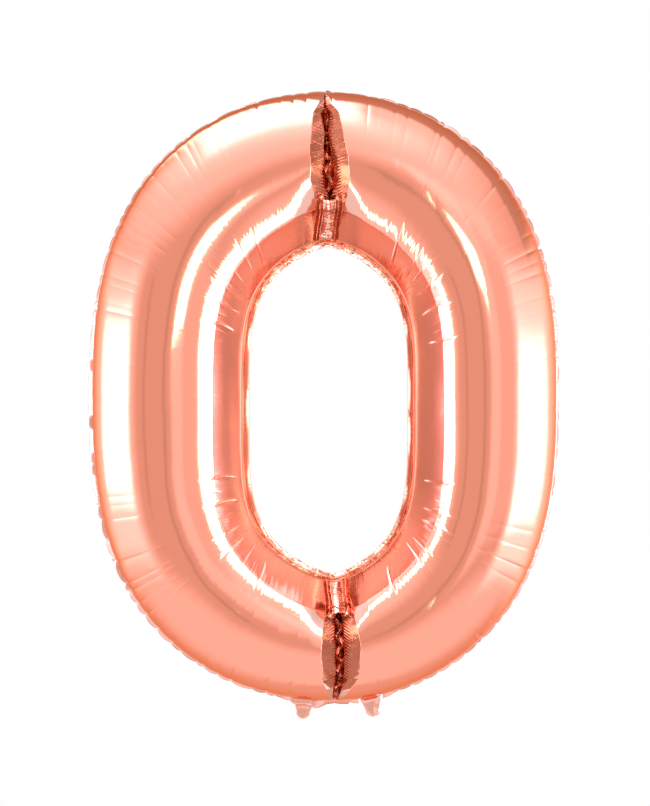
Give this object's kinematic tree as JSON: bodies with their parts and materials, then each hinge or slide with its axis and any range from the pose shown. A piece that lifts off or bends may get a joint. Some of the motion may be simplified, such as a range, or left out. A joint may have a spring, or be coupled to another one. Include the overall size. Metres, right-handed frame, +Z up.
{
  "type": "foil number balloon",
  "caption": "Inflated rose-gold mirror-foil balloon shaped as the figure 0, with welded rims, creased top and bottom, a filling neck with a film valve and a tether tab.",
  "frame": {"origin": "middle of the root line of the tether tab, on the lower rim, where the ribbon is tied", "axes": "+X to the right seen from the front, +Y from front to back, +Z up"},
  "size_m": [0.6621, 0.1918, 0.8817],
  "materials": {
    "mirror_foil": "polished",
    "sealed_foil": "gloss",
    "clear_film": "gloss"
  },
  "bodies": {
    "balloon": {"front_panel": "mirror_foil", "rear_panel": "mirror_foil", "outer_rim": "sealed_foil", "inner_rim": "sealed_foil", "top_crease_weld": "sealed_foil", "bottom_crease_weld": "sealed_foil"},
    "tab": {"tether_tab": "sealed_foil"},
    "neck": {"neck_rear_ply": "sealed_foil"},
    "neck_mouth": {"neck_front_ply": "sealed_foil"},
    "front_lip": {"valve_front_lip": "clear_film"},
    "rear_lip": {"valve_rear_lip": "clear_film"}
  },
  "joints": [
    {"name": "tether_tab_flap", "type": "hinge", "parent": "balloon", "child": "tab", "pos_m": [0, 0, 0], "axis": [0.995, 0, -0.0999], "range_deg": [-100, 100]},
    {"name": "neck_flap", "type": "hinge", "parent": "balloon", "child": "neck", "pos_m": [0.09299, 0, 0.01038], "axis": [0.9808, 0, 0.1948], "range_deg": [-60, 60]},
    {"name": "neck_opening", "type": "hinge", "parent": "neck", "child": "neck_mouth", "pos_m": [0.09299, -0.00035, 0.01038], "axis": [-0.9808, 0, -0.1948], "range_deg": [0, 25]},
    {"name": "front_lip_opening", "type": "hinge", "parent": "balloon", "child": "front_lip", "pos_m": [0.09282, -0.00035, 0.01127], "axis": [0.9808, 0, 0.1948], "range_deg": [0, 6], "stiffness_Nm_per_rad": 0.0004},
    {"name": "rear_lip_opening", "type": "hinge", "parent": "balloon", "child": "rear_lip", "pos_m": [0.09282, 0.00035, 0.01127], "axis": [0.9808, 0, 0.1948], "range_deg": [-6, 0], "stiffness_Nm_per_rad": 0.0004}
  ],
  "couplings": [
    {"joint": "rear_lip_opening", "follows": "front_lip_opening", "ratio": -1}
  ]
}
